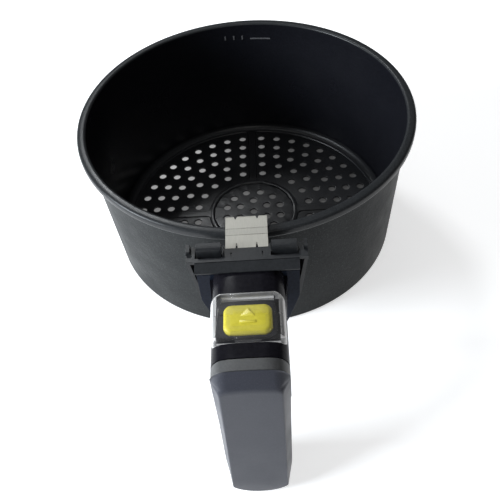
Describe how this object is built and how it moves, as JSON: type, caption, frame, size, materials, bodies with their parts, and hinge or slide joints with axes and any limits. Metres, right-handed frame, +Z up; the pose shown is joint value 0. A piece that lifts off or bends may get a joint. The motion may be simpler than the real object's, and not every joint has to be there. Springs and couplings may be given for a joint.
{
  "type": "air fryer basket with handle",
  "caption": "Round perforated frying basket of a hot-air fryer, hung on a steel strap from a lift-out handle with a guarded release button and latch hooks.",
  "frame": {"origin": "centre of the bounding box at its bottom, on the surface that the basket stands on", "axes": "+Z up, +Y from the grip towards the basket, +X to the right when the grip points at the viewer"},
  "size_m": [0.203, 0.2986, 0.0996],
  "materials": {
    "coated_sheet": "non-stick coating, fine speckle, satin",
    "brushed_steel": "brushed",
    "plain_steel": "plain zinc plated",
    "black_plastic": "fine moulded texture",
    "gloss_black_plastic": "glossy",
    "yellow_plastic": "satin, moulded in colour",
    "clear_plastic": "clear acrylic",
    "grey_plastic": "satin",
    "grip_plastic": "satin metallic grey with a blue cast"
  },
  "bodies": {
    "basket": {"basket_wall": "coated_sheet", "basket_floor": "coated_sheet", "rim_strap": "brushed_steel", "handle_tang": "plain_steel", "strap_rivet_left": "plain_steel", "strap_rivet_right": "plain_steel", "tang_rivet_lower": "plain_steel", "tang_rivet_upper": "plain_steel", "handle_base": "black_plastic", "shield_plate": "gloss_black_plastic", "base_screw_left": "plain_steel", "base_screw_right": "plain_steel", "latch_axle": "plain_steel", "arm_housing": "gloss_black_plastic", "arm_bottom_cover": "black_plastic", "arm_screw_1": "plain_steel", "arm_screw_2": "plain_steel", "arm_screw_3": "plain_steel", "arm_screw_4": "plain_steel", "button_well": "black_plastic", "button_spring": "plain_steel", "guard_pin_left": "plain_steel", "guard_pin_right": "plain_steel", "grip_collar": "grey_plastic", "grip_front_shell": "grip_plastic", "grip_rear_shell": "black_plastic", "grip_screw_upper": "plain_steel", "grip_screw_lower": "plain_steel"},
    "button": {"release_button": "yellow_plastic"},
    "latch": {"latch_rocker": "black_plastic"},
    "guard": {"guard_lid": "clear_plastic"}
  },
  "joints": [
    {"name": "guard_hinge", "type": "hinge", "parent": "basket", "child": "guard", "pos_m": [0, -0.09456, 0.0937], "axis": [-1, 0, 0], "range_deg": [0, 92]},
    {"name": "button_press", "type": "slide", "parent": "basket", "child": "button", "axis": [0, 0, -1], "range_m": [0, 0.003], "stiffness_N_per_m": 300, "springref_m": -0.002, "deforming": ["button_spring"]},
    {"name": "latch_pivot", "type": "hinge", "parent": "basket", "child": "latch", "pos_m": [0, -0.06996, 0.0763], "axis": [1, 0, 0], "range_deg": [0, 4.8]}
  ],
  "couplings": [
    {"joint": "latch_pivot", "follows": "button_press", "rad_per_m": 27}
  ]
}
